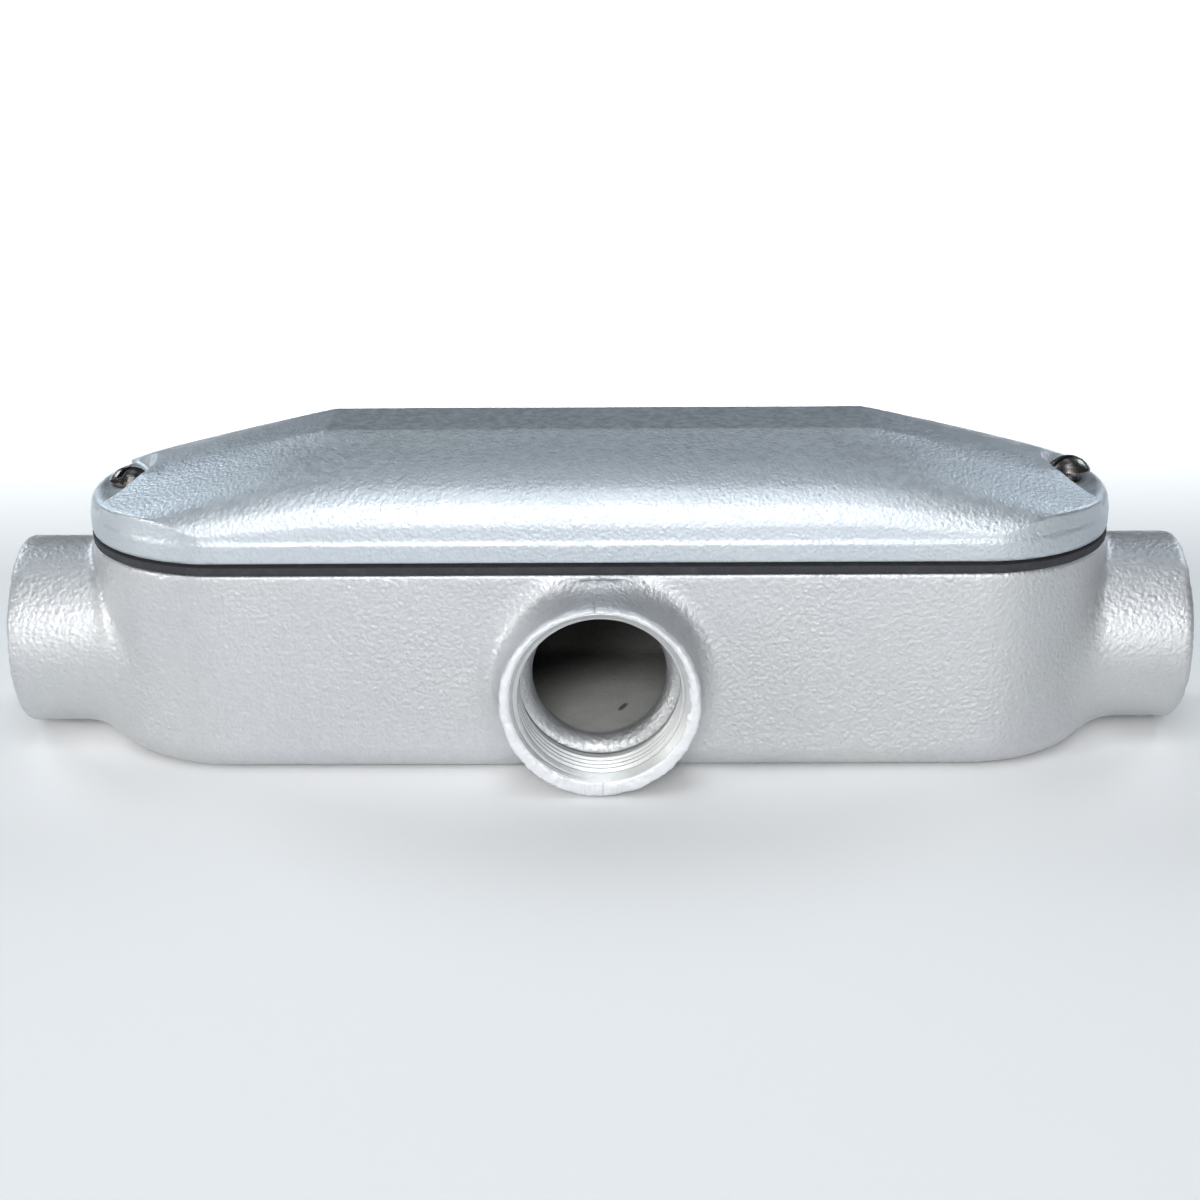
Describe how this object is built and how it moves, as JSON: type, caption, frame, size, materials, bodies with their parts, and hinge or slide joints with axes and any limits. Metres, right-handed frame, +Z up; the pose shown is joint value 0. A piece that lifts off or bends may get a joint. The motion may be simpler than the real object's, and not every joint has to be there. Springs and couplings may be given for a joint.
{
  "type": "conduit body",
  "caption": "Cast T-shaped conduit body with threaded hubs at both ends and one side, a domed cover on a rubber gasket and slotted cover screws.",
  "frame": {"origin": "centre of the body's flat bottom, straight below the point where the axes of the three hub collars cross", "axes": "+Z up through the cover, X along the run between the end hubs, -Y out through the side hub"},
  "size_m": [0.3368, 0.1023, 0.0913],
  "materials": {
    "silver_lacquer_body": "sand-cast aluminium under silver lacquer with a coarse orange-peel texture",
    "silver_lacquer_cover": "sand-cast aluminium under silver lacquer, slightly glossier, orange peel",
    "black_rubber": "matte black rubber, cut edge",
    "dark_steel": "tarnished stainless steel, smooth"
  },
  "bodies": {
    "body": {"body_casting": "silver_lacquer_body", "gasket": "black_rubber"},
    "cover": {"cover": "silver_lacquer_cover"},
    "screw_left": {"cover_screw_left": "dark_steel"},
    "screw_right": {"cover_screw_right": "dark_steel"}
  },
  "joints": [
    {"name": "cover_lift", "type": "slide", "parent": "body", "child": "cover", "axis": [0, 0, 1], "range_m": [0, 0.06]},
    {"name": "left_screw_turn", "type": "hinge", "parent": "cover", "child": "screw_left", "pos_m": [-0.1351, 0, 0.0727], "axis": [0, 0, 1], "continuous": true},
    {"name": "right_screw_turn", "type": "hinge", "parent": "cover", "child": "screw_right", "pos_m": [0.1351, 0, 0.0748], "axis": [0, 0, 1], "continuous": true}
  ]
}
